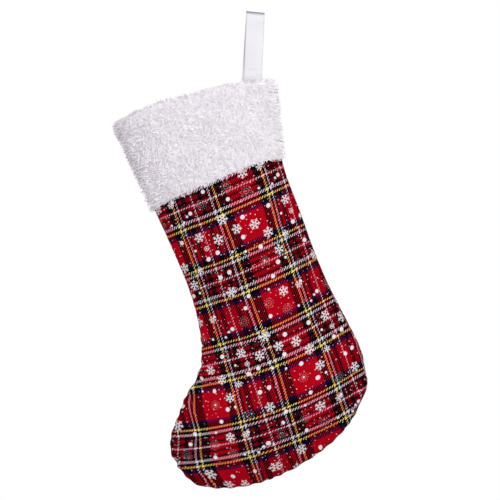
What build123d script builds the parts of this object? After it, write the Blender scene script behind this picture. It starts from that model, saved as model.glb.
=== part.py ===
"""Hanging Christmas stocking: two-layer fabric leg and foot, folded plush cuff and a satin ribbon loop.

The leg frame has u across the leg towards the heel, w down the leg from the mouth and y through the
thickness. It leans from the vertical because the stocking hangs by the heel-side corner of its mouth.
World frame: +Z up, +X towards the heel side, origin at the top of the ribbon loop.
"""
import os
from math import atan2, pi, radians, sin
from typing import NamedTuple

from build123d import *

# Hanging pose
LEAN_DEG = 19.0                 # leg axis from the vertical
MOUTH_CENTRE = (-78.0, -103.5)  # world X and Z of the middle of the mouth
RIBBON_LEAN_DEG = 3.7           # ribbon legs from the vertical
PIVOT = (-4.9, -76.0)           # world X and Z of the line where the ribbon bends at the mouth

# Fabric build-up, as distances from the outer panels' outside face
OUTER_CLOTH = 1.0
LINING_OUTSIDE = -1.5
LINING_INSIDE = -2.2
FOLD_OUTSIDE = -2.7
FOLD_INSIDE = -6.2
PLUSH_INSIDE = 0.5
PLUSH_OUTSIDE = 5.5
OUTER_SEAM = 4.0                # seam allowance turned to the inside
LINING_SEAM = 7.0
CUFF_PINCH = 0.2                # pinch where the round mouth starts to turn into two seamed panels
FULL_PINCH = 0.6                # pinch of a section whose two faces meet in a flat seam

# Edges across the cuff, as heights w at equal steps of u from -EDGE_REACH to +EDGE_REACH
EDGE_REACH = 100.0
CUFF_TOP = (0.0, -9.5, -6.5, -1.0, 11.0)
CUFF_HEM = (114.0, 105.5, 103.0, 100.0, 108.0)
RIM_DROP = 5.0                  # from the top of the pile to the cloth's folded edge
FOLD_DROP = 30.0                # from the top of the pile to the hem of the inside fold
STITCH_DROP = 24.0              # from the top of the pile to the stitches of the inside fold

# Ribbon
RIBBON_WIDTH = 22.0
RIBBON_THICK = 0.5
LOOP_RADIUS = 5.0               # outside of the round fold at the top
HINGE_GAP = 1.6                 # clear of the bending line, above and below
SEWN_LENGTH = 36.0              # from the bending line to the ribbon's cut ends

# Stitches
THREAD = 0.6
CUFF_STITCH_PITCH = 10.0
CUFF_STITCH_REACH = 70.0
TACK_LENGTH = 4.0
FROM_END = (Align.CENTER, Align.CENTER, Align.MIN)

FAR = 600.0


class Station(NamedTuple):
    """Section across the stocking, from its front edge to its heel or sole edge."""

    front: tuple
    heel: tuple
    depth: float
    pinch: float


ABOVE = Station((-96, -38), (101, -30), 25.0, 0.08)
MOUTH = Station((-94, 3), (98, 12), 25.0, 0.10)
CUFF_MIDDLE = Station((-90.5, 55), (89, 60), 24.5, CUFF_PINCH)
HEM = Station((-85, 108), (79.5, 108), 24.0, 0.35)

STATIONS = [
    ABOVE,
    MOUTH,
    CUFF_MIDDLE,
    HEM,
    Station((-79.5, 165), (80, 166), 24.0, 0.50),
    Station((-76.8, 216), (81.5, 220), 24.0, 0.58),
    Station((-80, 262), (86, 272), 24.5, 0.60),
    Station((-88.5, 296), (93, 322), 25.5, 0.60),
    Station((-98, 313.5), (95, 370), 27.0, 0.60),
    Station((-108, 324), (69, 419), 28.0, 0.60),
    Station((-119, 332.5), (20, 449), 27.5, 0.60),
    Station((-130.5, 345), (-35, 462.5), 25.5, 0.60),
    Station((-142, 359), (-85, 463), 21.5, 0.60),
    Station((-152, 371), (-124, 453), 16.0, 0.60),
    Station((-158.5, 385), (-147.5, 437), 9.0, 0.60),
    Station((-160.3, 398), (-156, 414), 2.0, 0.60),
]


def between(low, high, share):
    """Station part of the way from one to the next."""
    def mix(a, b):
        return a + (b - a) * share

    front = (mix(low.front[0], high.front[0]), mix(low.front[1], high.front[1]))
    heel = (mix(low.heel[0], high.heel[0]), mix(low.heel[1], high.heel[1]))
    return Station(front, heel, mix(low.depth, high.depth), mix(low.pinch, high.pinch))


def half_profile(station, offset, seam):
    """Half width, half depth and control-point reach of a section grown by an offset."""
    front = Vector(station.front[0], 0, -station.front[1])
    heel = Vector(station.heel[0], 0, -station.heel[1])
    half = (heel - front).length / 2
    edge_angle = atan2(4 / 3 * station.depth, half * station.pinch)
    seam_share = max(0.0, station.pinch - CUFF_PINCH) / (FULL_PINCH - CUFF_PINCH)
    reach = half + offset / sin(edge_angle) - seam * seam_share
    return reach, station.depth + offset, reach * (1 - station.pinch)


def section_wire(station, offset, seam, half):
    """Closed outline of a section: a bulging front curve, and a back curve or a straight line."""
    reach, depth, knee = half_profile(station, offset, seam)
    front = Vector(station.front[0], 0, -station.front[1])
    heel = Vector(station.heel[0], 0, -station.heel[1])
    across = (heel - front).normalized()
    plane = Plane(origin=(front + heel) / 2, x_dir=across, z_dir=across.cross(Vector(0, -1, 0)))

    def curve(side):
        points = [(-reach, 0), (-knee, side * 4 / 3 * depth), (knee, side * 4 / 3 * depth), (reach, 0)]
        return Bezier(*[plane.from_local_coords((x, y, 0)) for x, y in points])

    closing = Line(curve(1) @ 0, curve(1) @ 1) if half else curve(-1)
    return Wire([curve(1).edge(), closing.edge()])


def body(offset, seam=0.0, half=False, stations=STATIONS):
    """Smooth solid through the sections, the front half only or whole."""
    wires = [section_wire(station, offset, seam, half) for station in stations]
    return Solid.make_loft(wires, ruled=False)


def short_of_toe(last, share):
    """Stations up to one near the toe, so that an inner layer ends inside the outer one."""
    return STATIONS[:last] + [between(STATIONS[last - 1], STATIONS[last], share)]


def edge_curve(heights, drop):
    """Curved edge across the cuff, in the plane of u and -w."""
    step = 2 * EDGE_REACH / (len(heights) - 1)
    return Spline(*[(-EDGE_REACH + step * number, -(w + drop)) for number, w in enumerate(heights)])


def edge_height(u, heights, drop):
    """Height w of a curved edge where it crosses u."""
    curve = edge_curve(heights, drop)
    crossing = Line((u, -FAR), (u, FAR)).edge().intersect(curve.edge())
    return -crossing.vertices()[0].Y


def below(heights, drop=0.0):
    """Everything under a curved edge across the cuff."""
    curve = edge_curve(heights, drop)
    start, end = curve @ 0, curve @ 1
    corners = [end, (FAR, end.Y), (FAR, -FAR), (-FAR, -FAR), (-FAR, start.Y), start]
    sides = [Line(a, b).edge() for a, b in zip(corners, corners[1:])]
    face = Plane.XZ * Face(Wire([curve.edge()] + sides))
    return extrude(face, amount=FAR / 2, both=True)


def hung(shape):
    """Carry a shape from the leg frame to where it hangs."""
    place = Location((MOUTH_CENTRE[0], 0, MOUTH_CENTRE[1]), (0, -LEAN_DEG, 0))
    return place * shape


def outer_panel():
    """Front panel of the outer cloth, with its seam allowance as a thicker edge."""
    outside = body(0.0, half=True)
    inside = body(-OUTER_CLOTH, OUTER_SEAM, stations=short_of_toe(14, 0.9))
    return (outside - inside) & below(CUFF_TOP, RIM_DROP)


def lining_panel():
    """Front panel of the lining, which ends a little short of the outer toe."""
    outside = body(LINING_OUTSIDE, OUTER_SEAM, half=True, stations=short_of_toe(14, 0.75))
    inside = body(LINING_INSIDE, LINING_SEAM, stations=short_of_toe(14, 0.5))
    return (outside - inside) & below(CUFF_TOP, RIM_DROP)


def cuff_panel():
    """Front panel of the plush cuff: a deep outside face, a top over the rim and a short inside fold."""
    stations = STATIONS[:8]
    outside = body(PLUSH_OUTSIDE, half=True, stations=stations) & below(CUFF_TOP)
    stocking = body(PLUSH_INSIDE, stations=stations) & below(CUFF_TOP, RIM_DROP - PLUSH_INSIDE)
    fold = body(FOLD_OUTSIDE, half=True, stations=stations) & below(CUFF_TOP)
    shell = (outside - below(CUFF_HEM)) - stocking
    return (shell + (fold - below(CUFF_TOP, FOLD_DROP))) - body(FOLD_INSIDE, stations=stations)


def wall_depth(u, w, offset):
    """Distance of a face of the leg from the middle plane, at a place under the cuff."""
    low, high = (MOUTH, CUFF_MIDDLE) if w < CUFF_MIDDLE.front[1] else (CUFF_MIDDLE, HEM)
    share = (w - low.front[1]) / (high.front[1] - low.front[1])
    station = between(low, high, share)
    reach, depth, knee = half_profile(station, offset, 0.0)
    side = abs(u - (station.front[0] + station.heel[0]) / 2)
    start, end = 0.5, 1.0
    while end - start > 1e-5:
        t = (start + end) / 2
        x = -reach * (1 - t) ** 3 - 3 * knee * (1 - t) ** 2 * t + 3 * knee * (1 - t) * t ** 2 + reach * t ** 3
        start, end = (t, end) if x < side else (start, t)
    return 4 * depth * start * (1 - start)


def cuff_stitches():
    """Stitches that hold the cuff's inside fold to the lining and the outer cloth, all round the mouth."""
    stitches = []
    count = round(2 * CUFF_STITCH_REACH / CUFF_STITCH_PITCH) + 1
    for number in range(count):
        u = -CUFF_STITCH_REACH + number * CUFF_STITCH_PITCH
        w = edge_height(u, CUFF_TOP, STITCH_DROP)
        inside = wall_depth(u, w, FOLD_INSIDE) - THREAD / 2
        outside = wall_depth(u, w, 0.0) - OUTER_CLOTH / 4
        for side in (-1, 1):
            start = Plane(origin=(u, side * inside, -w), z_dir=(0, side, 0))
            stitches.append(start * Cylinder(THREAD / 2, outside - inside, align=FROM_END))
    return stitches


def ribbon_frame():
    """Frame on the bending line: x along the ribbon's width, y through it and z up its legs."""
    return Location((PIVOT[0], 0, PIVOT[1]), (0, RIBBON_LEAN_DEG, 0))


def ribbon_loop():
    """Loop above the bending line: two flat legs and a round fold at the top."""
    height = (PIVOT[0] ** 2 + PIVOT[1] ** 2) ** 0.5
    foot_radius = RIBBON_THICK + 0.1

    def teardrop(inset):
        foot = Pos(0, HINGE_GAP + foot_radius) * Circle(foot_radius - inset)
        fold = Pos(0, height - LOOP_RADIUS) * Circle(LOOP_RADIUS - inset)
        return make_hull(foot.edges() + fold.edges())

    side_plane = Plane(origin=(0, 0, 0), x_dir=(0, 1, 0), z_dir=(1, 0, 0))
    strip = side_plane * (teardrop(0) - teardrop(RIBBON_THICK))
    return ribbon_frame() * extrude(strip, amount=RIBBON_WIDTH / 2, both=True)


def sewn_end_centres():
    """Middle of the ribbon's two edges at the cut ends, against the inside fold at the back."""
    frame = ribbon_frame()
    edges = []
    for x in (-RIBBON_WIDTH / 2, RIBBON_WIDTH / 2):
        place = (frame * Pos(x, 0, -SEWN_LENGTH)).position
        local = (Location((MOUTH_CENTRE[0], 0, MOUTH_CENTRE[1]), (0, -LEAN_DEG, 0)).inverse() * Pos(place)).position
        y = wall_depth(local.X, -local.Z, FOLD_INSIDE) - RIBBON_THICK - 0.6
        edges.append((x, y))
    return edges


def sewn_plane(z, front_y, heel_y):
    """Plane across the ribbon at height z, turned to run from one edge's y to the other's."""
    x_dir = Vector(RIBBON_WIDTH, heel_y - front_y, 0).normalized()
    return Plane(origin=(0, (front_y + heel_y) / 2, z), x_dir=x_dir, z_dir=(0, 0, 1))


def sewn_ends():
    """Both ends of the ribbon, one on the other, from the bending line down to the inside fold."""
    (_, front_y), (_, heel_y) = sewn_end_centres()
    thick = 2 * RIBBON_THICK
    levels = [(-HINGE_GAP, 0.0, 0.0), (-SEWN_LENGTH / 3, front_y / 5, heel_y / 5), (-SEWN_LENGTH, front_y, heel_y)]
    wires = [(sewn_plane(*level) * Rectangle(RIBBON_WIDTH, thick)).wire() for level in levels]
    return ribbon_frame() * Solid.make_loft(wires, ruled=True)


def bar_tack():
    """Two rows of stitches through the ribbon's ends into the inside fold at the back."""
    (_, front_y), (_, heel_y) = sewn_end_centres()
    stitches = []
    for row in (3.0, 8.0):
        share = 1 - row / (SEWN_LENGTH * 2 / 3)
        y_front = front_y * (0.2 + 0.8 * share)
        y_heel = heel_y * (0.2 + 0.8 * share)
        plane = sewn_plane(-SEWN_LENGTH + row, y_front, y_heel)
        for number in range(7):
            x = (number - 3) * RIBBON_WIDTH / 8
            spot = plane * Pos(x, -RIBBON_THICK * 1.3, 0) * Rot(-90, 0, 0)
            stitches.append(spot * Cylinder(THREAD / 2, TACK_LENGTH, align=FROM_END))
    return [ribbon_frame() * stitch for stitch in stitches]


def save(name, shape):
    """Write one sub-part to its own file."""
    solids = shape if isinstance(shape, list) else [shape]
    solids = [solid for item in solids for solid in item.solids()]
    part = solids[0] if len(solids) == 1 else Compound(children=solids)
    part.label = name
    export_step(part, f"parts/{name}.step")


def main():
    os.makedirs("parts", exist_ok=True)
    for name, make in (("outer", outer_panel), ("lining", lining_panel), ("cuff", cuff_panel)):
        front = make()
        save(f"{name}_front_panel", hung(front))
        save(f"{name}_back_panel", hung(mirror(front, about=Plane.XZ)))
    save("cuff_stitches", [hung(stitch) for stitch in cuff_stitches()])
    save("hanging_ribbon_loop", ribbon_loop())
    save("ribbon_sewn_ends", sewn_ends())
    save("ribbon_bar_tack", bar_tack())


main()
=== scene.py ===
"""Hanging Christmas stocking: tartan leg and foot, lining, plush cuff and a satin ribbon loop.

Until a mesh is made, lengths are in millimetres in the leg frame: u across the leg towards the heel,
y through the thickness with the front at -y, and w down the leg from the mouth.
"""
import math
import bpy
import numpy as np
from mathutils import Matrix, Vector


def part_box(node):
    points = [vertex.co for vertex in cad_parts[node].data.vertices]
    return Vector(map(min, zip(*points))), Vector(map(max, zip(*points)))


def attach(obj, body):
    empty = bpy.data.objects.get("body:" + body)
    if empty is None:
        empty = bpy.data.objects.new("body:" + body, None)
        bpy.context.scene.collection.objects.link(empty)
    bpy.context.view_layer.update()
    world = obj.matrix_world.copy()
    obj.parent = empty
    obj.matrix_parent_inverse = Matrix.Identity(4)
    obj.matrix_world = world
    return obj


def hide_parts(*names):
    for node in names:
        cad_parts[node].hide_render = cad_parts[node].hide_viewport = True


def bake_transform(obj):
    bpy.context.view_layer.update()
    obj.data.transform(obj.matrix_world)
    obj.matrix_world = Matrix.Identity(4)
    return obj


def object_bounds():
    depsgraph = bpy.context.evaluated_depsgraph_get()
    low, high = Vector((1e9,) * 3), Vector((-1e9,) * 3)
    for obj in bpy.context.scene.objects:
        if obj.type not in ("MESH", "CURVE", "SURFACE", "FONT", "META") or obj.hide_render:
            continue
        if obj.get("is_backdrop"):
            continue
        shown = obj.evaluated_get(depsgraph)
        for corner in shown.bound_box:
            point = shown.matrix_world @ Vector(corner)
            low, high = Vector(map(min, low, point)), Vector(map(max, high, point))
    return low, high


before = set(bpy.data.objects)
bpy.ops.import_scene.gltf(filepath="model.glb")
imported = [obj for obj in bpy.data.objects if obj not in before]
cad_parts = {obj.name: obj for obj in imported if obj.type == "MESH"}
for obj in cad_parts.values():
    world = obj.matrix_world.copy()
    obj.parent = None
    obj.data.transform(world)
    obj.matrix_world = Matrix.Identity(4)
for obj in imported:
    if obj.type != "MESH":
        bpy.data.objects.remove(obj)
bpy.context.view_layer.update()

MM = 0.001
FRONT, BACK = -1, 1

# Hanging pose
LEAN = math.radians(19.0)
MOUTH_CENTRE = (-78.0, -103.5)
RIBBON_LEAN = math.radians(3.7)
PIVOT = (-4.9, -76.0)

# Sections: front edge u and w, heel edge u and w, depth of each face, pinch of the edges
STATIONS = np.array([
    (-96, -38, 101, -30, 25, 0.08),
    (-94, 3, 98, 12, 25, 0.10),
    (-90.5, 55, 89, 60, 24.5, 0.20),
    (-85, 108, 79.5, 108, 24, 0.35),
    (-79.5, 165, 80, 166, 24, 0.50),
    (-76.8, 216, 81.5, 220, 24, 0.58),
    (-80, 262, 86, 272, 24.5, 0.60),
    (-88.5, 296, 93, 322, 25.5, 0.60),
    (-98, 313.5, 95, 370, 27, 0.60),
    (-108, 324, 69, 419, 28, 0.60),
    (-119, 332.5, 20, 449, 27.5, 0.60),
    (-130.5, 345, -35, 462.5, 25.5, 0.60),
    (-142, 359, -85, 463, 21.5, 0.60),
    (-152, 371, -124, 453, 16, 0.60),
    (-158.5, 385, -147.5, 437, 9, 0.60),
    (-160.3, 398, -156, 414, 0, 0.60),
])
EDGE_STEPS = np.linspace(-100.0, 100.0, 5)
CUFF_TOP = np.array([-1.0, -8.2, -4.8, -0.6, 11.0])
CUFF_HEM = np.array([116.0, 107.5, 104.4, 101.0, 108.0])
RIM_DROP = 6.6
FOLD_DROP = 30.0

# Cloth
OUTER_CLOTH = 0.8
LINING_CLOTH = 0.4
BACKING_CLOTH = 0.6
RIBBON_CLOTH = 0.32
THREAD = 0.86
LINING_THREAD = 0.5
RIBBON_EDGE = 10.2

# Threads of the tartan: red, green, blue, and how strongly they cover the threads that cross them
PAINTS = {
    "red": (162, 2, 26, 0.50),
    "wine": (118, 2, 18, 0.50),
    "black": (6, 2, 6, 0.79),
    "green": (4, 14, 13, 0.80),
    "navy": (17, 9, 60, 0.74),
    "yellow": (226, 196, 96, 0.31),
    "white": (204, 193, 204, 0.31),
}

# Least share of the face that a yellow or white warp or weft keeps under darker threads, and how far a
# red thread reddens the one that crosses it
WARP_SHARE = 0.31
WEFT_SHARE = 0.39
RED_BLUSH = 0.40

# Bands across and down the tartan, as (where each colour starts, colour) over one repeat
ACROSS_REPEAT = 111.0
ACROSS_ORIGIN = -65.2
ACROSS = [
    (0, "black"), (0.4, "yellow"), (3.0, "black"), (5.5, "white"), (7.8, "green"), (11, "wine"),
    (13.6, "black"), (19.2, "wine"), (25.8, "white"), (27.6, "wine"), (34.4, "black"), (40.0, "wine"),
    (41.6, "black"), (42.4, "wine"), (44.6, "black"), (47.3, "white"), (50.0, "black"), (54.1, "yellow"),
    (56.8, "black"), (67.8, "red"), (102.2, "black"),
]
DOWN_REPEAT = 96.0
DOWN_ORIGIN = 49.4
DOWN = [
    (0, "black"), (1.2, "yellow"), (3.7, "black"), (6.7, "white"), (9.5, "green"), (13.2, "wine"),
    (17.2, "black"), (20.6, "wine"), (23.2, "white"), (24.8, "wine"), (28.4, "black"), (31.2, "wine"),
    (35.4, "black"), (39.3, "white"), (42.6, "black"), (46.2, "yellow"), (48.8, "black"), (53.0, "navy"),
    (56.8, "red"), (88.8, "navy"), (92.0, "black"),
]

# Print over the tartan: each repeat down starts PRINT_STEP further across than the one above it
PRINT_REPEAT = (112.0, 147.6)
PRINT_STEP = 3.0
PRINT_ORIGIN = -63.3
MOTIF_TURN = 0.35

# Printed motifs, as (kind, size, places across and down in one repeat)
FLAKE, DOTTED, DOT, RING, BURST = 1, 2, 3, 4, 5
MOTIFS = [
    (FLAKE, 13.4, [(52, 6), (39, 26), (85.5, 26.5), (98, 42), (34, 90)]),
    (FLAKE, 12.5, [(64, 23), (104, 66), (93, 113), (18, 15)]),
    (FLAKE, 9.0, [(113, 114), (6, 52)]),
    (DOTTED, 13.0, [(72, 119), (91, 134), (37, 128), (10, 92)]),
    (DOT, 5.6, [(75, 13), (107, 13), (68, 35), (33, 40), (20, 43), (84, 54), (39, 67), (27, 69), (98, 79)]),
    (DOT, 5.0, [(87, 92), (52, 102), (44, 114), (69, 134), (21, 132), (4, 112)]),
    (DOT, 3.2, [(105, 137), (65, 52), (77, 104), (10, 139), (16, 134), (108, 78), (50, 46), (8, 28)]),
    (RING, 5.8, [(22, 30.5)]),
    (BURST, 12.5, [(83, 71)]),
]


# ---- shape of the leg

def natural_spline(knots, values):
    """Function that passes smoothly through the values at the knots."""
    gaps = np.diff(knots)
    count = len(knots)
    system = np.eye(count)
    change = np.zeros((count,) + values.shape[1:])
    for i in range(1, count - 1):
        system[i, i - 1:i + 2] = gaps[i - 1], 2 * (gaps[i - 1] + gaps[i]), gaps[i]
        change[i] = 6 * ((values[i + 1] - values[i]) / gaps[i] - (values[i] - values[i - 1]) / gaps[i - 1])
    bend = np.linalg.solve(system, change)

    def at(x):
        i = np.clip(np.searchsorted(knots, x) - 1, 0, count - 2)
        shape = np.shape(x) + (1,) * (values.ndim - 1)
        gap = gaps[i].reshape(shape)
        left = (x - knots[i]).reshape(shape)
        right = gap - left
        curve = (bend[i] * right**3 + bend[i + 1] * left**3) / (6 * gap)
        start = values[i] / gap - bend[i] * gap / 6
        end = values[i + 1] / gap - bend[i + 1] * gap / 6
        return curve + start * right + end * left

    return at


def station_knots():
    """Distance of each section down the leg, halfway between its two edges."""
    steps = np.diff(STATIONS, axis=0)
    lengths = (np.hypot(steps[:, 0], steps[:, 1]) + np.hypot(steps[:, 2], steps[:, 3])) / 2
    return np.concatenate([[0.0], np.cumsum(lengths)])


# Sections, by number: the one below the cuff, and the one where the lining ends
BELOW_CUFF, LINING_END = 4, 14
LEVEL_STEPS = 400
SEAM_FINENESS = 0.4

KNOTS = station_knots()
section_at = natural_spline(KNOTS, STATIONS)
cuff_top_at = natural_spline(EDGE_STEPS, CUFF_TOP)
cuff_hem_at = natural_spline(EDGE_STEPS, CUFF_HEM)


def skin(t, s):
    """Places (u, y, w) on the front face.

    t is 0 at the front edge and 1 at the heel edge, and s runs down the leg.
    """
    front_u, front_w, heel_u, heel_w, depth, pinch = np.moveaxis(section_at(s), -1, 0)
    half = np.hypot(heel_u - front_u, heel_w - front_w) / 2
    knee = half * (1 - pinch)
    x = half * (t**3 - (1 - t)**3) + 3 * knee * t * (1 - t) * (2 * t - 1)
    share = (1 + x / half) / 2
    u = front_u + (heel_u - front_u) * share
    w = front_w + (heel_w - front_w) * share
    return np.stack([u, -4 * depth * t * (1 - t), w], axis=-1)


def faced(places, side):
    """Places of the front face, mirrored through the thickness for the back."""
    return places * np.array([1, -side, 1])


def columns(count):
    """Steps across the leg from 0 to 1, finer towards the seams."""
    even = np.linspace(0, 1, count)
    return even - SEAM_FINENESS / (2 * math.pi) * np.sin(2 * math.pi * even)


def level(t, edge_at, drop):
    """How far down the leg each column t crosses a curved edge that lies drop below edge_at."""
    s = np.linspace(0, KNOTS[BELOW_CUFF], LEVEL_STEPS)
    places = skin(*np.meshgrid(t, s))
    below = places[..., 2] - edge_at(places[..., 0]) - drop
    return np.array([np.interp(0.0, column, s) for column in below.T])


def unit(vectors):
    """Vectors of length 1."""
    return vectors / np.maximum(np.linalg.norm(vectors, axis=-1, keepdims=True), 1e-9)


def outward(places, side):
    """Outward normals of a grid of places that runs down the leg by rows and across it by columns."""
    down = np.gradient(places, axis=0)
    across = np.gradient(places, axis=1)
    return unit(np.cross(down, across)) * side


def run_lengths(places, axis):
    """Distance along a grid from its first row or column."""
    steps = np.linalg.norm(np.diff(places, axis=axis), axis=-1)
    first = np.zeros_like(np.take(steps, [0], axis=axis))
    return np.concatenate([first, np.cumsum(steps, axis=axis)], axis=axis)


def ripples(p, q, seed, wavelength, count=7):
    """Soft irregular waves over two coordinates, from about -1 to 1."""
    random = np.random.default_rng(seed)
    total = np.zeros_like(p)
    for _ in range(count):
        angle = random.uniform(0, math.pi)
        length = wavelength * random.uniform(0.7, 1.6)
        phase = random.uniform(0, 2 * math.pi)
        total += np.sin(2 * math.pi * (p * math.cos(angle) + q * math.sin(angle)) / length + phase)
    return total / math.sqrt(count)


def near(distance, reach):
    """Share that fades from 1 at no distance to almost 0 at twice the reach."""
    return np.exp(-(distance / reach)**2)


def smooth_step(value, low, high):
    """Share that rises from 0 at low to 1 at high."""
    x = np.clip((value - low) / (high - low), 0, 1)
    return x * x * (3 - 2 * x)


def smooth_drop(value, low, high):
    """Share that falls from 1 at low to 0 at high."""
    return smooth_step(-value, -high, -low)


def around(places, middle, reach):
    """Share that fades with the distance from a middle (u, w)."""
    return near(np.hypot(places[..., 0] - middle[0], places[..., 2] - middle[1]), reach)


def scallops(length, pitch, seed):
    """Irregular waves along a seam, from -1 to 1."""
    wander = 1.4 * np.sin(length / 17 + seed) + 0.9 * np.sin(length / 9.3 + 2.1 * seed)
    return np.sin(2 * math.pi * length / pitch + wander)


# ---- outer cloth

ROWS, COLUMNS = 270, 92

# Gather of each seam along the leg, as (distance down the leg as a share, strength)
FRONT_GATHER = [(0, 0), (0.26, 0), (0.4, 0.25), (0.5, 0.35), (0.6, 0.8), (0.7, 0.6), (0.9, 0.5), (1, 0.7)]
HEEL_GATHER = [(0, 0), (0.26, 0), (0.4, 0.15), (0.58, 0.22), (0.68, 0.5), (0.78, 0.8), (1, 1)]
HEEL_ROLL = [(0, 0), (0.3, 0), (0.42, 0.5), (0.5, 1), (0.6, 0.9), (0.66, 0.3), (0.72, 0), (1, 0)]

TOE_GATHER, TOE_REACH = 0.7, 30

# Wavelengths of the scallops along the seams, and the finer ones' share of them
FRONT_PITCH, HEEL_PITCH, TOE_PITCH = 15.0, 17.0, 14.0
FINE_PITCH = 0.43

# Heel edge: how far it rolls forward, its seam draws in, each face swells, and its lowest point stands out
ROLL_FORWARD = 4.5
HEEL_INSET = 2.6
HEEL_SWELL = {FRONT: 1.4, BACK: 4.6}
HEEL_POINT = (86, 393)
HEEL_POINT_OUT = 3.6

# Creases as ((u, w) at the seam, (u, w) inside, depth, width)
CREASES = [
    ((-84, 262), (-52, 272), 1.2, 3.2),
    ((-88, 284), (-48, 306), 1.6, 3.6),
    ((-95, 303), (-62, 330), 1.9, 4.0),
    ((-106, 318), (-84, 352), 1.6, 3.6),
    ((-120, 330), (-108, 366), 1.1, 3.4),
    ((-157, 405), (-128, 418), 1.8, 3.2),
    ((-140, 444), (-126, 424), 1.2, 3.0),
    ((94, 352), (66, 344), 1.1, 3.6),
    ((92, 382), (60, 366), 1.2, 4.0),
]


def panel_grid(rows, count, end):
    """Places of a front panel from the mouth's rim to an end, and each row's share of the way."""
    t = columns(count)
    rim = level(t, cuff_top_at, RIM_DROP)
    share = np.linspace(0, 1, rows)[:, None]
    s = rim + (end - rim) * share
    return skin(t, s), share


def profile(points, share):
    """Value along the leg of a list of (share, value)."""
    shares, values = zip(*points)
    return np.interp(share, shares, values)


def crease_depth(places):
    """How far in the creases pull the cloth at each place."""
    total = np.zeros(places.shape[:-1])
    for start, end, depth, width in CREASES:
        line = np.array(end, float) - start
        offset = places[..., [0, 2]] - start
        share = np.clip(offset @ line / (line @ line), 0, 1)
        gap = np.linalg.norm(offset - share[..., None] * line, axis=-1)
        valley = near(gap, width) - 0.45 * near(gap - 2.2 * width, width)
        total += depth * (1 - share)**0.7 * valley
    return total


def lie(flat_places, side):
    """Places, normals and direction across of one side, and distances from its front and heel seams."""
    places = faced(flat_places, side)
    across = unit(places[:, -1:] - places[:, :1])
    from_front = run_lengths(places, 1)
    return places, outward(places, side), across, from_front, from_front[:, -1:] - from_front


def gather(normals, out, distance, length, strength, pitch, seeds):
    """Movement of the cloth in scallops along a seam: off its face, and along out."""
    wave = scallops(length, pitch, seeds[0])
    fine = scallops(length, pitch * FINE_PITCH, seeds[1])
    bulge = near(distance - 6, 5) * (0.55 + 0.75 * wave) + 0.25 * near(distance - 3.5, 2.5) * fine
    edge = 0.8 * strength * wave * near(distance, 9) - (0.5 + 0.8 * strength) * near(distance, 2.4)
    held = np.minimum(strength * 3, 1)
    return normals * (strength * bulge)[..., None] + out * (held * edge)[..., None]


def heel_edge(places, across, from_heel, share, side):
    """Movement of the cloth by the heel seam, which rolls over to the front."""
    roll = profile(HEEL_ROLL, share)
    swell = HEEL_SWELL[side] * near(from_heel - 8, 6) - HEEL_INSET * near(from_heel, 3.5)
    point = HEEL_POINT_OUT * around(places, HEEL_POINT, 13) * near(from_heel, 14)
    moved = across * (roll * swell + point)[..., None]
    moved[..., 1] -= ROLL_FORWARD * roll * near(from_heel, 9)
    return moved


def softness(places, from_edge, share, side):
    """How far soft ripples and creases move the cloth off its face."""
    u, w = places[..., 0], places[..., 2]
    waves = 1.3 * ripples(u, 0.6 * w, 21 + side, 62) + 0.5 * ripples(u, w, 31 + side, 27)
    creases = crease_depth(places) * (side == FRONT)
    return (waves * smooth_step(from_edge, 6, 34) - creases) * smooth_step(share, 0.2, 0.34)


def gathered(flat_places, share, side):
    """Places of the outer cloth on one side, gathered at its seams and softly rippled."""
    places, normals, across, from_front, from_heel = lie(flat_places, side)
    onward = unit(np.gradient(places, axis=0))
    from_toe = run_lengths(places[::-1], 0)[::-1]
    down = run_lengths(places, 0)
    toe_gather = TOE_GATHER * near(from_toe, TOE_REACH)
    seams = (
        (-across, from_front, down[:, :1], profile(FRONT_GATHER, share), FRONT_PITCH, 3),
        (across, from_heel, down[:, -1:], profile(HEEL_GATHER, share), HEEL_PITCH, 5),
        (onward, from_toe, from_front, toe_gather, TOE_PITCH, 8),
    )
    moved = heel_edge(places, across, from_heel, share, side)
    for out, distance, length, strength, pitch, seed in seams:
        moved += gather(normals, out, distance, length, strength, pitch, (seed, seed + side))
    from_edge = np.minimum(np.minimum(from_front, from_heel), from_toe)
    moved += normals * softness(places, from_edge, share, side)[..., None]
    return places + moved


# Tilt and sag of the bands, and how far the woven lines and the print slip, as (distances down, values)
BAND_TILT = ([195, 240, 290, 336, 386, 430], [0.08, 0.063, 0.058, 0.03, 0.04, 0.05])
BAND_SAG = ([195, 240, 290, 336], [0.00025, 0.0006, 0.0008, 0.001])
WEAVE_DROP = ([205, 255, 305, 355, 405, 430, 450], [0, 0.9, 1.6, 2.3, 2.9, 5.2, 5.5])
PRINT_DROP = ([310, 335, 355, 390, 410], [0, 1.3, 2.5, 4.0, 5.2])
ANKLE_DROP = 1.2
BAND_MIDDLE = -8
BAND_ORIGIN = 144.4
BACK_SHIFT = (43, 21)

# How the lines across the cloth spread and pull on the leg and foot
SEAM_STRETCH, SEAM_AT = 5, 82
TOE_SPREAD, HEEL_SPREAD, FOOT_STARTS = 0.065, 0.03, 300
ANKLE_PULL, ANKLE = 14, (-114, 325)
SOLE_SLANT, SOLE_STARTS = 0.3, 424
CUFF_PULL, CALF_PULL = 4.5, 1.0


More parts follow.
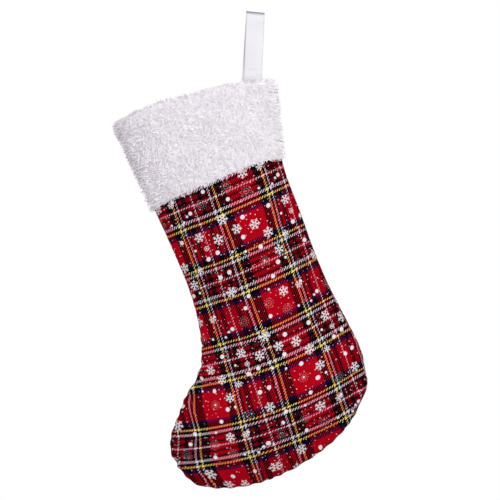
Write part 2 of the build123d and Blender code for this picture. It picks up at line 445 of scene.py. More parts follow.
def cloth_map(places, side):
    """Where each place lies on the flat tartan, across and down."""
    u, w = places[..., 0], places[..., 2]
    reach = u - BAND_MIDDLE
    down = w + np.interp(w, *BAND_TILT) * reach + np.interp(w, *BAND_SAG) * reach**2 - BAND_ORIGIN
    outer_share = np.sign(u) * np.minimum(np.abs(u) / SEAM_AT, 1.2)**5
    in_foot = np.maximum(w - FOOT_STARTS, 0)
    across = u + SEAM_STRETCH * outer_share * smooth_drop(w - 100 * (u > 0), 270, 320)
    across += in_foot * (TOE_SPREAD * smooth_drop(u, -65, -30) - HEEL_SPREAD * smooth_step(u, 20, 50))
    across -= ANKLE_PULL * around(places, ANKLE, 30)
    across -= SOLE_SLANT * np.maximum(w - SOLE_STARTS, 0) * smooth_drop(u, -110, -60)
    across -= CUFF_PULL * smooth_step(u, 0, 55) * smooth_drop(w, 115, 190) + CALF_PULL * near(w - 190, 45)
    shift = BACK_SHIFT if side == BACK else (0, 0)
    return np.stack([across + shift[0], down + shift[1]], axis=-1)


def weave_drift(places):
    """How far the woven lines run off the flat tartan, across and down."""
    u, w = places[..., 0], places[..., 2]
    down = np.interp(w, *WEAVE_DROP) + ANKLE_DROP * smooth_drop(u, -50, -30) * smooth_drop(w, 300, 330)
    across = -6.0 * near(w - 376, 22) * smooth_drop(u, -110, -90)
    across -= 3.5 * near(w - 366, 30) * smooth_drop(u, -128, -116)
    across -= 3.6 * near(w - 335, 50) * smooth_step(u, -40, -5)
    return np.stack([across, down], axis=-1)


def print_drift(places):
    """How far the snow print runs off the flat tartan in the foot, across and down."""
    u, w = places[..., 0], places[..., 2]
    sideways = smooth_step(u, -110, 30) * (1 - 0.45 * smooth_step(u, 15, 65))
    across = sideways * (1.5 * smooth_step(w, 300, 335) + 5.5 * smooth_step(w, 330, 400))
    return np.stack([across, np.interp(w, *PRINT_DROP)], axis=-1)


def wrapped(value, repeat):
    """Signed distance within one repeat of the print."""
    return (value + repeat / 2) % repeat - repeat / 2


def nearest_motifs(cloth):
    """For each place on the cloth, the nearest motif's edge distance, offset, radius, turn and kind."""
    down = cloth[:, 1]
    across = cloth[:, 0] - PRINT_ORIGIN - PRINT_STEP * np.floor(down / PRINT_REPEAT[1])
    best = np.full((len(cloth), 6), 1e9)
    for kind, size, spots in MOTIFS:
        for x, y in spots:
            dx = wrapped(across - x, PRINT_REPEAT[0])
            dy = wrapped(down - y, PRINT_REPEAT[1])
            gap = np.hypot(dx, dy) - size / 2
            turn = MOTIF_TURN * math.sin(3 * x + 5 * y)
            closer = gap < best[:, 0]
            row = np.stack([gap, dx, dy, 0 * dx + size / 2, 0 * dx + turn, 0 * dx + kind], axis=1)
            best[closer] = row[closer]
    return best


def print_map(cloth, faces):
    """Place of each face corner in the motif nearest its face, where 1 is the edge, and the kind."""
    corners = cloth[np.array(faces)]
    middle = corners.mean(axis=1)
    motif = nearest_motifs(middle)
    offset = corners - middle[:, None] + motif[:, None, 1:3]
    radius, turn = motif[:, 3][:, None], motif[:, 4][:, None]
    x = (offset[..., 0] * np.cos(turn) - offset[..., 1] * np.sin(turn)) / radius
    y = (offset[..., 0] * np.sin(turn) + offset[..., 1] * np.cos(turn)) / radius
    kind = np.broadcast_to(motif[:, 5][:, None], x.shape)
    return np.stack([x, y, kind], axis=-1).reshape(-1, 3)


# ---- meshes

def hung(places):
    """World places, in metres, of leg-frame places in millimetres."""
    u, y, w = np.moveaxis(places, -1, 0)
    x = MOUTH_CENTRE[0] + math.cos(LEAN) * u + math.sin(LEAN) * w
    z = MOUTH_CENTRE[1] + math.sin(LEAN) * u - math.cos(LEAN) * w
    return np.stack([x, y, z], axis=-1) * MM


def turned(vectors):
    """World directions of leg-frame directions."""
    return (hung(vectors) - hung(np.zeros(3))) / MM


def grid_faces(rows, count, side):
    """Four corners of each face of a grid, wound so that the face looks outward."""
    index = np.arange(rows * count).reshape(rows, count)
    corners = [index[:-1, :-1], index[1:, :-1], index[1:, 1:], index[:-1, 1:]]
    if side == BACK:
        corners.reverse()
    return np.stack([corner.ravel() for corner in corners], axis=1).tolist()


def add(name, data, place=(0, 0, 0)):
    """Object in the scene for a mesh, a lamp or the camera."""
    item = bpy.data.objects.new(name, data)
    item.location = place
    bpy.context.scene.collection.objects.link(item)
    return item


def make_mesh(name, places, faces, materials):
    """Smooth-shaded object from world places in metres and a list of faces."""
    mesh = bpy.data.meshes.new(name)
    mesh.from_pydata(places.reshape(-1, 3).tolist(), [], faces)
    mesh.polygons.foreach_set("use_smooth", np.ones(len(mesh.polygons), bool))
    for material in materials:
        mesh.materials.append(material)
    return add(name, mesh)


def store(piece, name, values, domain="POINT"):
    """Keep a vector for each point or face corner of a mesh, for its material."""
    values = values.reshape(len(values), -1)
    if values.shape[1] == 2:
        values = np.column_stack([values, np.zeros(len(values))])
    attribute = piece.data.attributes.new(name, "FLOAT_VECTOR", domain)
    attribute.data.foreach_set("vector", values.astype(np.float32).ravel())


def thicken(piece, thickness):
    """Give a sheet its cloth's thickness, on the inside of its face."""
    modifier = piece.modifiers.new("cloth", "SOLIDIFY")
    modifier.thickness = thickness * MM
    modifier.offset = -1
    bpy.context.view_layer.update()
    graph = bpy.context.evaluated_depsgraph_get()
    solid = piece.evaluated_get(graph)
    mesh = bpy.data.meshes.new_from_object(solid, preserve_all_data_layers=True, depsgraph=graph)
    piece.modifiers.clear()
    piece.data = mesh


# ---- materials

def paint(*levels):
    """Linear colour of one given in 0 to 255."""
    shares = [number / 255 for number in levels]
    return (*(x / 12.92 if x <= 0.04045 else ((x + 0.055) / 1.055)**2.4 for x in shares), 1.0)


class Value:
    """Output of a node, which ordinary arithmetic turns into more nodes."""

    def __init__(self, graph, socket):
        self.graph = graph
        self.socket = socket

    def __add__(self, other):
        return self.graph.math("ADD", self, other)

    def __sub__(self, other):
        return self.graph.math("SUBTRACT", self, other)

    def __rsub__(self, other):
        return self.graph.math("SUBTRACT", other, self)

    def __mul__(self, other):
        return self.graph.math("MULTIPLY", self, other)

    def __lt__(self, other):
        return self.graph.math("LESS_THAN", self, other)

    def __gt__(self, other):
        return self.graph.math("GREATER_THAN", self, other)

    def __abs__(self):
        return self.graph.math("ABSOLUTE", self)

    def apply(self, operation, *others):
        return self.graph.math(operation, self, *others)


class Graph:
    """Node tree of one material, with short calls for the nodes it is made of."""

    def __init__(self, name, **sockets):
        self.material = bpy.data.materials.new(name)
        self.material.use_nodes = True
        self.tree = self.material.node_tree
        self.shader = self.tree.nodes["Principled BSDF"]
        for socket, value in sockets.items():
            self.shader.inputs[socket.replace("_", " ")].default_value = value

    def node(self, kind, **settings):
        node = self.tree.nodes.new(kind)
        for name, value in settings.items():
            setattr(node, name, value)
        return node

    def put(self, value, socket):
        """Set a socket to a value, or link it to the node the value comes from."""
        if isinstance(value, Value):
            self.tree.links.new(value.socket, socket)
        else:
            socket.default_value = value

    def run(self, node, *values):
        """Put values in a node's first sockets, and return its first output."""
        for value, socket in zip(values, node.inputs):
            self.put(value, socket)
        return Value(self, node.outputs[0])

    def math(self, operation, *values):
        return self.run(self.node("ShaderNodeMath", operation=operation), *values)

    def join(self, x, y, z=0.0):
        return self.run(self.node("ShaderNodeCombineXYZ"), x, y, z)

    def attribute(self, name):
        """The three numbers of a vector that the mesh keeps, and the vector itself."""
        source = self.node("ShaderNodeAttribute", attribute_name=name)
        vector = Value(self, source.outputs["Vector"])
        return [*self.split(vector, "ShaderNodeSeparateXYZ"), vector]

    def own_place(self):
        """Place in the piece's own frame, in metres."""
        return Value(self, self.node("ShaderNodeTexCoord").outputs["Object"])

    def split(self, value, kind="ShaderNodeSeparateColor"):
        """The three numbers of a colour or vector."""
        parts = self.node(kind)
        self.put(value, parts.inputs[0])
        return [Value(self, socket) for socket in parts.outputs]

    def noise(self, vector, scale, detail=2.0):
        node = self.node("ShaderNodeTexNoise")
        self.put(vector, node.inputs["Vector"])
        node.inputs["Scale"].default_value = scale
        node.inputs["Detail"].default_value = detail
        return Value(self, node.outputs["Fac"])

    def mix(self, share, first, second, blend="MIX"):
        node = self.node("ShaderNodeMix", data_type="RGBA", blend_type=blend)
        for value, socket in zip((share, first, second), (node.inputs[0], node.inputs[6], node.inputs[7])):
            self.put(value, socket)
        return Value(self, node.outputs[2])

    def bands(self, position, stops, repeat):
        """Colour and strength of the thread at a position in a repeating sequence of bands."""
        node = self.node("ShaderNodeValToRGB")
        ramp = node.color_ramp
        ramp.interpolation = "CONSTANT"
        ramp.elements.remove(ramp.elements[1])
        for number, (start, name) in enumerate(stops):
            element = ramp.elements[0] if number == 0 else ramp.elements.new(start / repeat)
            *levels, strength = PAINTS[name]
            element.color = (*paint(*levels)[:3], strength)
        self.put(position, node.inputs[0])
        return Value(self, node.outputs[0]), Value(self, node.outputs[1])

    def multiply(self, colour, red, green, blue):
        return self.mix(1.0, colour, self.join(red, green, blue), "MULTIPLY")

    def bright(self, colour):
        """1 where a thread is yellow or white, and 0 where it is dark."""
        return self.split(colour)[1] > 0.3

    def red(self, colour):
        """1 where a thread is red, and 0 where it is dark, yellow or white."""
        red, green, _ = self.split(colour)
        return (red > 0.1) * (green < 0.3)

    def finish(self, colour, height, distance, strength=1.0):
        """Give the shader its colour and a bump of the given height, and return the material."""
        self.put(colour, self.shader.inputs["Base Color"])
        bump = self.node("ShaderNodeBump")
        bump.inputs["Strength"].default_value = strength
        bump.inputs["Distance"].default_value = distance * MM
        self.put(height, bump.inputs["Height"])
        self.tree.links.new(bump.outputs[0], self.shader.inputs["Normal"])
        return self.material


# Parts of the flakes, as shares of their radius, with each barb's start on the arm and length
ARM_HALF, BARB_HALF, HUB = 0.075, 0.06, 0.14
BARBS = ((0.28, 0.20), (0.58, 0.34))
BARB_LEAN = (0.6, 0.8)
DOT_RINGS = (0.85, 0.48)

SPECK_SPACING = 5.4
SPECK_SHARE = 0.46
INK = (226, 224, 230)


def fold(angle, sector):
    """Angle from the middle of the sector that it falls in."""
    return (angle + sector / 2 + 2 * math.pi).apply("FLOORED_MODULO", sector) - sector / 2


def snowflake(radius, angle):
    """Share of a six-armed flake with barbed arms."""
    angle = fold(angle, math.pi / 3)
    along = radius * angle.apply("COSINE")
    beside = abs(radius * angle.apply("SINE"))
    shape = (beside < ARM_HALF) * (along < 1.0) * (radius > HUB)
    for start, length in BARBS:
        ahead = along - start
        run = ahead * BARB_LEAN[0] + beside * BARB_LEAN[1]
        gap = abs(ahead * BARB_LEAN[1] - beside * BARB_LEAN[0])
        shape = shape.apply("MAXIMUM", (gap < BARB_HALF) * (run > 0.0) * (run < length))
    return shape


def dotted_flake(radius, angle):
    """Share of a faint flake that is two rings of twelve dots round a larger one."""
    beside = fold(angle, math.pi / 6) * radius
    outer, inner = (abs(radius - ring) for ring in DOT_RINGS)
    off_ring = outer.apply("MINIMUM", inner)
    spot = (beside * beside + off_ring * off_ring) < 0.007
    return spot.apply("MAXIMUM", radius < 0.13) * 0.22


def printed(x, y, kind):
    """Share of white print: snowflakes, dotted flakes, dots, ringed dots and bursts."""
    radius = (x * x + y * y).apply("SQRT")
    angle = y.apply("ARCTAN2", x)
    dotted = dotted_flake(radius, angle)
    ring = (abs(radius - 0.85) < 0.13).apply("MAXIMUM", radius < 0.4) * 0.85
    burst = dotted.apply("MAXIMUM", radius < 0.2)
    total = snowflake(radius, angle) * (abs(kind - FLAKE) < 0.5)
    for code, share in ((DOTTED, dotted), (DOT, radius < 0.95), (RING, ring), (BURST, burst)):
        total = total + share * (abs(kind - code) < 0.5)
    return total


def specks(graph, across, down):
    """Share of white print in tiny scattered specks."""
    node = graph.node("ShaderNodeTexVoronoi", voronoi_dimensions="2D")
    node.inputs["Scale"].default_value = 1.0
    graph.put(graph.join(across * (1 / SPECK_SPACING), down * (1 / SPECK_SPACING)), node.inputs["Vector"])
    size, pick, _ = graph.split(Value(graph, node.outputs["Color"]))
    distance = Value(graph, node.outputs["Distance"])
    return (distance < size * 0.085 + 0.05) * (pick < SPECK_SHARE)


def tartan_material():
    """Brushed twill tartan with a white snow print over it."""
    graph = Graph("tartan", Roughness=0.9, Specular_IOR_Level=0.03)
    across, down, _, vector = graph.attribute("cloth")
    warp_at = ((across - ACROSS_ORIGIN) * (1 / ACROSS_REPEAT)).apply("FRACT")
    weft_at = ((down - DOWN_ORIGIN) * (1 / DOWN_REPEAT)).apply("FRACT")
    warp, warp_strength = graph.bands(warp_at, ACROSS, ACROSS_REPEAT)
    weft, weft_strength = graph.bands(weft_at, DOWN, DOWN_REPEAT)
    twill = ((across + down) * (1 / (4 * THREAD))).apply("FRACT")
    share = (warp_strength - weft_strength + 0.5).apply("MINIMUM", 1.0 - graph.bright(weft) * WEFT_SHARE)
    warp_up = twill < share.apply("MAXIMUM", graph.bright(warp) * WARP_SHARE)
    woven = graph.mix(warp_up, weft, warp)
    blush = graph.red(graph.mix(warp_up, warp, weft)) * RED_BLUSH
    woven = graph.multiply(woven, 1.0, 1.0 - blush, 1.0 - blush * 0.8)
    fuzz = graph.noise(vector, 1.1) * 0.5 + 0.75
    shade = (graph.noise(vector, 0.05, 3.0) * 0.44 + 0.74) * fuzz
    woven = graph.multiply(woven, shade, shade, shade)
    x, y, kind, _ = graph.attribute("motif")
    ink = printed(x, y, kind).apply("MAXIMUM", specks(graph, across, down) * 0.8)
    worn = (graph.noise(vector, 1.6) * 1.1 + 0.36).apply("MINIMUM", 1.0)
    colour = graph.mix(ink * worn * (twill.apply("SINE") * 0.1 + 0.86), woven, paint(*INK))
    height = ridge(across) * warp_up + ridge(down) * (1.0 - warp_up) + fuzz * 0.6 + ink * 0.3
    return graph.finish(colour, height, 0.16, 0.7)


def ridge(position, pitch=THREAD):
    """Rounded height of one thread after another."""
    centred = (position * (1 / pitch)).apply("FRACT") - 0.5
    return 1.0 - centred * centred * 4.0


def lining_material():
    """Plain-woven off-white lining."""
    graph = Graph("lining", Roughness=0.8, Sheen_Weight=0.1)
    across, down, _, vector = graph.attribute("cloth")
    crossings = (across * (1 / LINING_THREAD)).apply("FLOOR") + (down * (1 / LINING_THREAD)).apply("FLOOR")
    over = crossings.apply("FLOORED_MODULO", 2.0)
    height = ridge(across, LINING_THREAD) * over + ridge(down, LINING_THREAD) * (1.0 - over)
    shade = graph.noise(vector, 0.08) * 0.5 + over * 0.15
    colour = graph.mix(shade, paint(222, 216, 208), paint(242, 238, 232))
    return graph.finish(colour, height, 0.08, 0.6)


def backing_material():
    """Knitted backing of the plush, seen between its tufts."""
    graph = Graph("plush_backing", Roughness=0.95, Sheen_Weight=0.2)
    across, down, _, vector = graph.attribute("cloth")
    loops = ridge(across, 1.2) * ridge(down + ridge(across, 1.2) * 0.5, 0.9)
    colour = graph.mix(graph.noise(vector, 0.35), paint(236, 233, 238), paint(252, 250, 253))
    return graph.finish(colour, loops + graph.noise(vector, 1.5), 0.3)


def pile_material(number, tint):
    """Soft curly fibre of the plush, in one of its tints."""
    graph = Graph(f"plush_{number}", Roughness=0.9, Sheen_Weight=1.0, Sheen_Roughness=0.6,
                  Specular_IOR_Level=0.3)
    return graph.finish(paint(*tint), graph.noise(graph.own_place(), 2600.0), 0.2, 0.5)


def satin_material():
    """White satin ribbon with lengthwise threads, woven edges and painted shade along its top fold."""
    graph = Graph("satin", Roughness=0.38, Sheen_Weight=0.25, Sheen_Roughness=0.3, Specular_IOR_Level=0.4)
    across, along, painted_fold_shade, _ = graph.attribute("cloth")
    streaks = graph.noise(graph.join(across * 2.2, along * 0.02), 1.0, 3.0)
    edge = abs(across) > RIBBON_EDGE
    colour = graph.mix(streaks * 0.7, paint(204, 202, 208), paint(215, 213, 218))
    colour = graph.mix(edge * 0.35, colour, paint(196, 193, 204))
    # Painted shade: a dark grey-lavender line along the fold at the top of the loop
    colour = graph.mix(painted_fold_shade * 0.9, colour, paint(112, 108, 132))
    height = streaks * 0.6 + ridge(across, 0.35) * 0.3 + edge * ridge(along, 0.5)
    return graph.finish(colour, height, 0.08, 0.5)


def thread_material(name, red, green, blue):
    """Twisted sewing thread, with painted shade in the grooves of its twist."""
    graph = Graph(name, Roughness=0.6, Sheen_Weight=0.2)
    x, y, z = graph.split(graph.own_place(), "ShaderNodeSeparateXYZ")
    twist = ridge((x + y * 1.4 + z * 0.9) * (1 / MM), 0.45)
    # Painted shade: the thread is darker in the grooves between the ridges of its twist
    light, dark = paint(red, green, blue), paint(red * 0.82, green * 0.82, blue * 0.84)
    return graph.finish(graph.mix(twist, dark, light), twist, 0.1)


# ---- pieces of the stocking

def outer_panel(side, word, material):
    """Tartan cloth of one side of the leg and foot."""
    flat_places, share = panel_grid(ROWS, COLUMNS, KNOTS[-1])
    faces = grid_faces(ROWS, COLUMNS, side)
    cloth = cloth_map(flat_places, side)
    woven = (cloth + weave_drift(flat_places)).reshape(-1, 2)
    printed_cloth = (cloth + print_drift(flat_places)).reshape(-1, 2)
    piece = make_mesh(f"outer_{word}", hung(gathered(flat_places, share, side)), faces, [material])
    store(piece, "cloth", woven)
    store(piece, "motif", print_map(printed_cloth, faces), "CORNER")
    thicken(piece, OUTER_CLOTH)
    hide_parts(f"outer_{word}_panel")
    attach(piece, "stocking")


LINING_ROWS, LINING_COLUMNS = 150, 52
LINING_DEPTH = 1.8
LINING_SLACK = 3.8
LINING_PULL = 5.0


def lining_panel(side, word, material):
    """Lining of one side, a little smaller than the outer cloth."""
    flat_places, share = panel_grid(LINING_ROWS, LINING_COLUMNS, KNOTS[LINING_END])
    places, normals, across, from_front, from_heel = lie(flat_places, side)
    pull = LINING_PULL * (near(from_front, 10) - near(from_heel, 10)) * smooth_step(share, 0.05, 0.35)
    depth = LINING_DEPTH + LINING_SLACK * smooth_step(share, 0.12, 0.3)
    moved = places - normals * depth[..., None] + across * pull[..., None]
    moved[:, [0, -1], 1] = 0
    inside = smooth_step(np.minimum(from_front, from_heel), 8, 30) * smooth_step(share, 0.2, 0.35)
    waves = 0.5 * ripples(places[..., 0], places[..., 2], 41 + side, 40)
    moved += normals * (waves * inside)[..., None]
    piece = make_mesh(f"lining_{word}", hung(moved), grid_faces(*moved.shape[:2], side), [material])
    store(piece, "cloth", places[..., [0, 2]].reshape(-1, 2))
    thicken(piece, LINING_CLOTH)
    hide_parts(f"lining_{word}_panel")
    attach(piece, "stocking")


# ---- plush cuff

CUFF_COLUMNS = 90
OUTSIDE_STEPS, RIM_STEPS, INSIDE_STEPS = 44, 9, 11
HEM_DROP = -0.6
BACKING_RIM_DROP = RIM_DROP - 0.4
BACKING_FOLD_DROP = FOLD_DROP - 1.0
BACKING_OUTSIDE = 1.9
BACKING_INSIDE = -3.3

# Tufts of each side, how much denser they are on the rim, and the share in the upper, lighter layer (the
# greyer lower layer is painted shade)
TUFTS = 12600
RIM_DENSITY = 1.9
UPPER_SHARE = 0.5
OUTSIDE_LENGTH, INSIDE_LENGTH = 4.3, 2.6
OUTSIDE_REACH, RIM_REACH, INSIDE_REACH = 5.2, 3.0, 1.6

# Fuller corners of the cuff, as (extra length, (u, w), reach)
FULL_CORNERS = [(2.4, (86, 6), 16), (1.2, (-94, 108), 14), (2.2, (-94, 6), 12)]

# Rings of one tuft, as (share of its length, share of its radius), and its points
TUFT_RINGS = ((0.0, 0.9), (0.42, 1.0), (0.78, 0.7))
TUFT_POINTS = 10

# From the lightest tint to the greyest: tufts vary among them at random, and the greyer ones also serve as
# painted shade
TINTS = [(255, 252, 255), (255, 249, 255), (246, 238, 248), (233, 223, 235), (216, 206, 219)]


def cuff_grid(side):
    """Places and outward normals of the cuff's backing, from its hem over the rim and down inside."""
    t = columns(CUFF_COLUMNS)
    hem = level(t, cuff_hem_at, HEM_DROP)
    rim = level(t, cuff_top_at, BACKING_RIM_DROP)
    inner = level(t, cuff_top_at, BACKING_FOLD_DROP)
    s = np.concatenate([
        hem + (rim - hem) * np.linspace(0, 1, OUTSIDE_STEPS)[:, None],
        np.broadcast_to(rim, (RIM_STEPS, len(t))),
        rim + (inner - rim) * np.linspace(0, 1, INSIDE_STEPS)[:, None],
    ])
    base = faced(skin(t, s), side)
    smooth = faced(skin(t, rim[None] + np.linspace(-20, 20, 5)[:, None]), side)
    rim_normal = outward(smooth, side)[2]
    normals = np.concatenate([
        outward(base[:OUTSIDE_STEPS][::-1], side)[::-1],
        np.broadcast_to(rim_normal, (RIM_STEPS,) + rim_normal.shape),
        outward(base[-INSIDE_STEPS:], side),
    ])
    normals[:, [0, -1], 1] = 0
    normals = unit(normals)
    offset = np.concatenate([
        BACKING_OUTSIDE * smooth_step(np.arange(OUTSIDE_STEPS), -1.5, 1.5),
        np.zeros(RIM_STEPS),
        np.full(INSIDE_STEPS, BACKING_INSIDE),
    ])[:, None, None]
    radius = (BACKING_OUTSIDE - BACKING_INSIDE) / 2
    turn = np.linspace(0, math.pi, RIM_STEPS + 2)[1:-1, None, None]
    over = slice(OUTSIDE_STEPS, OUTSIDE_STEPS + RIM_STEPS)
    up = faced(unit(skin(t, rim - 4.0) - skin(t, rim)), side)[None]
    places = base + normals * offset
    middle = (BACKING_OUTSIDE + BACKING_INSIDE) / 2
    places[over] = base[over] + normals[over] * (middle + radius * np.cos(turn)) + up * radius * np.sin(turn)
    looks = normals.copy()
    looks[over] = unit(normals[over] * np.cos(turn) + up * np.sin(turn))
    looks[-INSIDE_STEPS:] *= -1
    return places, looks


def sample(grid, row, column):
    """Values of a grid between its rows and columns."""
    i = np.clip(row.astype(int), 0, grid.shape[0] - 2)
    j = np.clip(column.astype(int), 0, grid.shape[1] - 2)
    p = (row - i)[:, None]
    q = (column - j)[:, None]
    top = grid[i, j] * (1 - q) + grid[i, j + 1] * q
    bottom = grid[i + 1, j] * (1 - q) + grid[i + 1, j + 1] * q
    return top * (1 - p) + bottom * p


def scatter(places, count):
    """Evenly spread rows and columns over a grid, whatever the size of its faces."""
    down = np.linalg.norm(np.diff(places, axis=0), axis=-1).mean(axis=1)
    down[OUTSIDE_STEPS - 1:OUTSIDE_STEPS + RIM_STEPS] *= RIM_DENSITY
    across = np.linalg.norm(np.diff(places, axis=1), axis=-1).mean(axis=0)
    number = np.arange(1, count + 1)
    spots = []
    for steps, advance in ((down, 0.7548776662), (across, 0.5698402910)):
        share = np.concatenate([[0], np.cumsum(steps)]) / steps.sum()
        spots.append(np.interp((0.5 + advance * number) % 1, share, np.arange(len(share))))
    return spots


def tuft_shape(base, normal, tip, bow, radius):
    """Points of curved, tapering, three-sided tufts, and which way each point faces."""
    side = unit(np.cross(normal, [0.3, 0.5, 0.81]))
    other = np.cross(normal, side)
    points, spread = [], []
    for height, width in TUFT_RINGS:
        middle = base + tip * height + bow * math.sin(math.pi * height)
        for corner in range(3):
            angle = 2 * math.pi * corner / 3
            rim = side * math.cos(angle) + other * math.sin(angle)
            points.append(middle + rim * (radius * width)[:, None])
            spread.append(rim)
    points.append(base + tip)
    spread.append(unit(tip))
    return np.stack(points, axis=1), np.stack(spread, axis=1)


def tuft_faces(count):
    """Faces of the tufts, two rings of sides and three to each tip, and how many each tuft has."""
    edges = ((0, 1), (1, 2), (2, 0))
    pattern = [(ring + 3 + a, ring + 3 + b, ring + b, ring + a) for ring in (0, 3) for a, b in edges]
    pattern += [(9, 6 + b, 6 + a) for a, b in edges]
    starts = range(0, count * TUFT_POINTS, TUFT_POINTS)
    return [tuple(start + corner for corner in face) for start in starts for face in pattern], len(pattern)


def tuft_lengths(base, layers, clump, seam, random):
    """Length of each tuft: even by the seams, ragged on the rim and fuller at the corners."""
    inside, rim, upper = layers
    uneven = 0.09 * clump + random.normal(0, np.where(rim, 0.18, 0.08), TUFTS)
    uneven = (uneven + np.where(upper, 0.06, -0.16)) * (1 - 0.85 * seam)
    extra = seam * (base[:, 0] > 0) - 0.6 * rim * smooth_step(-base[:, 0], -60, 20)
    for more, corner, reach in FULL_CORNERS:
        extra = extra + more * around(base, corner, reach)
    return np.where(inside, INSIDE_LENGTH, OUTSIDE_LENGTH) * (1 + uneven) + extra * ~inside


def tuft_reaches(row, layers, seam):
    """How far each tuft leans over: least by the hem, the seams and on the inside."""
    inside, rim, upper = layers
    reach = np.where(inside, INSIDE_REACH, np.where(rim, RIM_REACH, OUTSIDE_REACH))
    reach = reach * (1 - 0.5 * near(row, 4)) * (1 - 0.75 * seam)
    return reach * np.where(upper, 1.15, 0.8)


def tuft_tints(base, upper, clump, random):
    """Number of each tuft's tint, with painted shade: greyer in the lower layer and towards the less-lit
    front seam.
    """
    # Painted shade: tufts get greyer towards the front seam, on the side that the key lights less
    lit = smooth_step(base[:, 0], -80, -30) + smooth_step(base[:, 0], 10, 70)
    # Painted shade: the lower layer gets the greyer tints, as shade deep in the pile; clumps and chance vary
    # the rest
    tint = np.where(upper, random.uniform(0, 1.9, TUFTS), random.uniform(1.6, 4.7, TUFTS))
    tint = tint + 1.2 - 0.75 * lit + 0.5 * clump
    return np.clip(tint.astype(int), 0, len(TINTS) - 1)


def pile(side, name, places, looks, materials):
    """Curly tufts of the plush, standing on the backing and combed into whorls."""
    random = np.random.default_rng(60 + side)
    row, column = scatter(places, TUFTS)
    base, normal = sample(places, row, column), unit(sample(looks, row, column))
    across = unit(sample(np.gradient(places, axis=1), row, column))
    inside = row > OUTSIDE_STEPS + RIM_STEPS - 1
    rim = (row > OUTSIDE_STEPS - 2) & ~inside
    seam = smooth_step(np.abs(base[:, 0]), 70, 86)
    clump = ripples(base[:, 0], base[:, 2] + 9 * row, 71 + side, 7)
    whorl = math.pi * (1.1 * ripples(base[:, 0], base[:, 2], 75 + side, 42) + 0.35 * clump)
    whorl = (whorl + random.normal(0, 0.85, TUFTS))[:, None]
    comb = np.cos(whorl) * across + np.sin(whorl) * np.cross(normal, across)
    upper = random.uniform(0, 1, TUFTS) < UPPER_SHARE
    layers = (inside, rim, upper)
    length = tuft_lengths(base, layers, clump, seam, random)[:, None]
    reach = tuft_reaches(row, layers, seam)[:, None]
    fall = np.array([0, 0, 1.0]) * (0.7 + 1.4 * near(row, 4))[:, None]
    tip = normal * length + comb * reach * random.uniform(0.5, 1.3, TUFTS)[:, None] + fall
    bow = np.cross(normal, comb) * random.normal(0, 0.7, TUFTS)[:, None] - comb * 0.25 * reach
    thin = random.uniform(0, 1, TUFTS) < 0.16
    radius = np.where(thin, 0.2, random.uniform(0.38, 0.6, TUFTS))
    tip = tip * np.where(thin, 1.18, 1.0)[:, None]
    points, spread = tuft_shape(base - normal * 0.3, normal, tip, bow, radius)
    faces, each = tuft_faces(TUFTS)
    piece = make_mesh(name, hung(points), faces, materials)
    facing = np.array([0, side, 0]) * 0.7 * seam[:, None]
    shade = unit(1.7 * (normal + facing)[:, None] + spread).reshape(-1, 3)
    piece.data.normals_split_custom_set_from_vertices(turned(shade).tolist())
    tints = np.repeat(tuft_tints(base, upper, clump, random), each)
    piece.data.polygons.foreach_set("material_index", tints.astype(np.int32))
    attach(piece, "stocking")
    return piece


def cuff(side, word, backing, tints):
    """One side of the plush cuff: its backing sheet and the pile on it."""
    places, looks = cuff_grid(side)
    sheet = make_mesh(f"cuff_{word}", hung(places), grid_faces(*places.shape[:2], -side), [backing])
    store(sheet, "cloth", np.stack([run_lengths(places, 1), run_lengths(places, 0)], axis=-1).reshape(-1, 2))
    thicken(sheet, BACKING_CLOTH)
    fur = pile(side, f"cuff_{word}_pile", places, looks, tints)
    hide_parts(f"cuff_{word}_panel")
    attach(sheet, "stocking")


# ---- ribbon

RIBBON_WIDTH = 22.0
RIBBON_STEPS = 170
LOOP_RADIUS = 4.7
LOOP_FOOT = 0.7
SPLAY = 2.0
SEWN_END = -35.5
WALL_GAP = 1.2
PLY_GAP = 0.25


def ribbon_line():
    """Points (sideways, through, up) along the ribbon from one sewn end over the top to the other."""
    height = math.hypot(*PIVOT)
    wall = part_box("ribbon_sewn_ends")[1].y / MM - WALL_GAP
    legs = []
    for side in (FRONT, BACK):
        ends = [
            (wall + PLY_GAP * side, SEWN_END),
            (wall * 0.92 + PLY_GAP * side, SEWN_END + 4),
            (wall * 0.2 + 0.3 * side, -12),
            (0.32 * side, -1.6),
            (LOOP_FOOT * side, 6),
        ]
        leg = [(0.0, through, up) for through, up in ends]
        for share in (0.3, 0.55, 0.8):
            leg.append((0, side * (LOOP_FOOT + (LOOP_RADIUS - LOOP_FOOT) * share), 6 + (height - 12) * share))
        legs.append(leg)
    turn = np.linspace(0, math.pi, 13)
    top = height - LOOP_RADIUS
    over = [(0, -LOOP_RADIUS * math.cos(angle), top + LOOP_RADIUS * math.sin(angle)) for angle in turn]
    return np.array(legs[0] + over + legs[1][::-1])


def even_line(points, count):
    """Points resampled along a smooth line through the given ones, and how far along it each is."""
    lengths = run_lengths(points, 0)
    along = np.linspace(0, lengths[-1], count)
    return natural_spline(lengths, points)(along), along


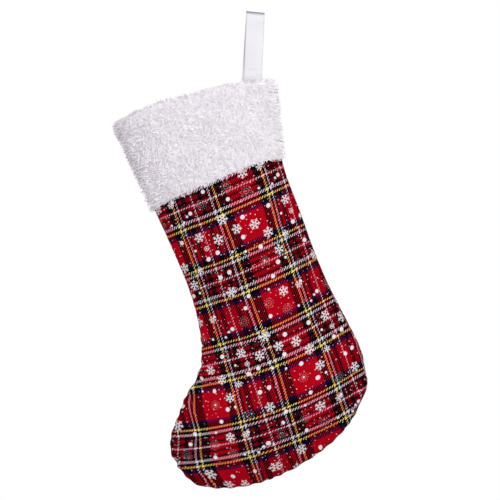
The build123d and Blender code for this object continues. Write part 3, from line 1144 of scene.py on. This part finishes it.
def ribbon(material):
    """Satin ribbon folded into a loop, both its ends sewn to the cuff's inside fold."""
    line, along = even_line(ribbon_line(), RIBBON_STEPS)
    widths = np.linspace(-RIBBON_WIDTH / 2, RIBBON_WIDTH / 2, 15)
    height = math.hypot(*PIVOT)
    drop = np.clip((height - line[:, 2:3]) / height, 0, 1)
    from_top = (along - along[-1] / 2)[:, None]
    first_leg = from_top < 0
    sideways = SPLAY * np.where(first_leg, 0.9, 0.0) * drop + widths
    cup = 0.25 * np.cos(widths / RIBBON_WIDTH * math.pi) * np.sin(along / 31)[:, None] * (drop < 0.9)
    through = line[:, 1:2] + cup * np.where(first_leg, -1, 1)
    up = line[:, 2:3] - 0.035 * widths * near(from_top, 12)
    x = PIVOT[0] + math.cos(RIBBON_LEAN) * sideways + math.sin(RIBBON_LEAN) * up
    z = PIVOT[1] - math.sin(RIBBON_LEAN) * sideways + math.cos(RIBBON_LEAN) * up
    places = np.stack([x, through, z], axis=-1) * MM
    piece = make_mesh("hanging_ribbon", places, grid_faces(*places.shape[:2], BACK), [material])
    # Where the painted shade of the top fold lies, just before the top of the loop
    painted_fold_shade = near(from_top + 2.5, 3.0)
    cloth = np.stack(np.broadcast_arrays(widths, along[:, None], painted_fold_shade), axis=-1)
    store(piece, "cloth", cloth.reshape(-1, 3))
    thicken(piece, RIBBON_CLOTH)
    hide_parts("hanging_ribbon_loop", "ribbon_sewn_ends")
    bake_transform(piece)


# ---- studio

FLOOR_GAP = 30
FLOOR_RADIUS, BEND_RADIUS, WALL_HEIGHT = 2600, 900, 4000

# Light from all round, and the lamps' power in watts and size in metres
ROOM_LIGHT = 0.38
KEY_POWER, KEY_SIZE = 66, (1.3, 1.3)
FILL_POWER, FILL_SIZE = 15, (1.4, 1.6)
LIT_MIDDLE = (-0.03, 0, -0.3)


def stage():
    """Round white floor that curves up into a wall, and neither lights nor shades the stocking."""
    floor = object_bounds()[0].z / MM - FLOOR_GAP
    bend = np.linspace(0, math.pi / 2, 12)
    wall = FLOOR_RADIUS + BEND_RADIUS
    radii = np.concatenate([[0, 1500], FLOOR_RADIUS + BEND_RADIUS * np.sin(bend), [wall]])
    heights = np.concatenate([[0, 0], BEND_RADIUS - BEND_RADIUS * np.cos(bend), [WALL_HEIGHT]]) + floor
    turns = np.linspace(0, 2 * math.pi, 97)
    places = np.stack([np.outer(radii, np.cos(turns)), np.outer(radii, np.sin(turns)),
                       np.outer(heights, np.ones_like(turns))], axis=-1) * MM
    graph = Graph("studio_white", Base_Color=(0, 0, 0, 1), Emission_Color=(1, 1, 1, 1),
                  Emission_Strength=1.0, Specular_IOR_Level=0.0)
    room = make_mesh("studio_floor", places, grid_faces(*places.shape[:2], BACK), [graph.material])
    for ray in ("diffuse", "glossy", "transmission", "shadow"):
        setattr(room, f"visible_{ray}", False)
    room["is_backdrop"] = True


def area_light(name, place, size, power):
    """Large soft light that looks at the middle of the stocking."""
    data = bpy.data.lights.new(name, "AREA")
    data.shape = "RECTANGLE"
    data.size, data.size_y = size
    data.energy = power
    away = Vector(LIT_MIDDLE) - Vector(place)
    add(name, data, place).rotation_euler = away.to_track_quat("-Z", "Y").to_euler()


def studio():
    """Soft light from all round, and for each side a large key at its upper right and a weaker fill."""
    scene = bpy.context.scene
    scene.view_settings.view_transform = "Standard"
    world = bpy.data.worlds.new("studio")
    world.use_nodes = True
    background = world.node_tree.nodes["Background"]
    background.inputs["Color"].default_value = (1, 1, 1, 1)
    background.inputs["Strength"].default_value = ROOM_LIGHT
    scene.world = world
    for word, side in (("front", FRONT), ("back", BACK)):
        area_light(f"{word}_key", (-0.8 * side, 2.5 * side, 0.45), KEY_SIZE, KEY_POWER)
        area_light(f"{word}_fill", (2.0 * side, 1.7 * side, 0.1), FILL_SIZE, FILL_POWER)


def camera():
    """Camera square to the front, with the whole stocking in a 0.6 m view."""
    data = bpy.data.cameras.new("camera")
    data.lens = 120
    data.sensor_width = 36
    view = add("camera", data, (-0.0066, -2.0, -0.2856))
    view.rotation_euler = (math.pi / 2, 0, 0)
    bpy.context.scene.camera = view


def dress(node, material):
    """Give a kept node its material."""
    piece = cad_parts[node]
    piece.data.materials.clear()
    piece.data.materials.append(material)


def main():
    """Make every piece, then the studio round them."""
    tartan = tartan_material()
    lining = lining_material()
    backing = backing_material()
    tints = [pile_material(number, tint) for number, tint in enumerate(TINTS)]
    ribbon(satin_material())
    for side, word in ((FRONT, "front"), (BACK, "back")):
        outer_panel(side, word, tartan)
        lining_panel(side, word, lining)
        cuff(side, word, backing, tints)
    dress("cuff_stitches", thread_material("cuff_thread", 236, 232, 238))
    dress("ribbon_bar_tack", thread_material("tack_thread", 240, 238, 244))
    stage()
    studio()
    camera()


main()
